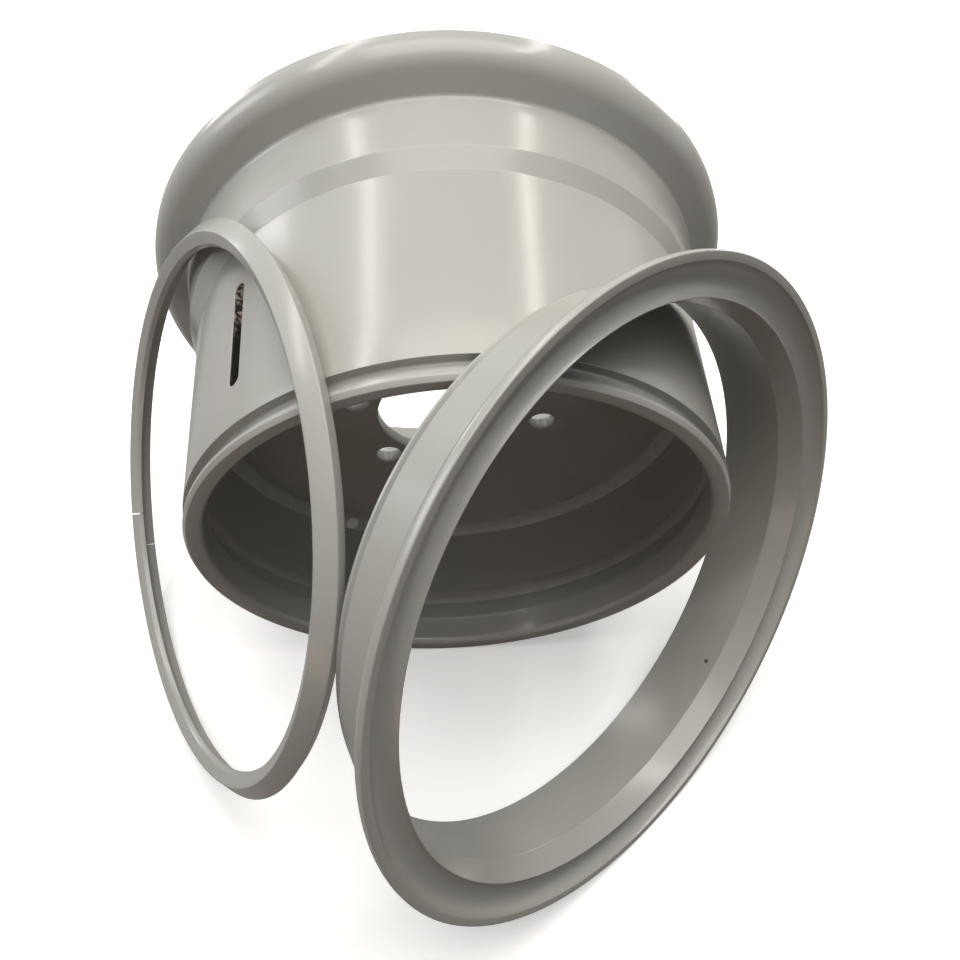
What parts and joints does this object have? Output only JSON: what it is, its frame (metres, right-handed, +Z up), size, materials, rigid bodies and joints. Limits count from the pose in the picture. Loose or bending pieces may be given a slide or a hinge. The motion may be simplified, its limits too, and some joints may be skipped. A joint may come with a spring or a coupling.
{
  "type": "mining truck wheel",
  "caption": "Grey demountable steel wheel for an earthmover, with its side ring and lock ring taken off and leaning on the rim.",
  "frame": {"origin": "centre of the mounting disc's bore, midway through the disc", "axes": "+Z up from the floor, +Y from the open front to the back flange along the floor, +X to the right seen from the front"},
  "size_m": [0.8712, 0.8279, 0.7143],
  "materials": {
    "paint": "semi-gloss",
    "weld": "semi-gloss"
  },
  "bodies": {
    "root": {"gutter_section": "paint", "centre_band": "paint", "back_section": "paint", "gutter_weld": "weld", "back_weld": "weld", "mounting_disc": "paint", "disc_front_weld": "weld", "disc_rear_weld": "weld", "side_ring": "paint", "lock_ring": "paint"}
  },
  "joints": []
}
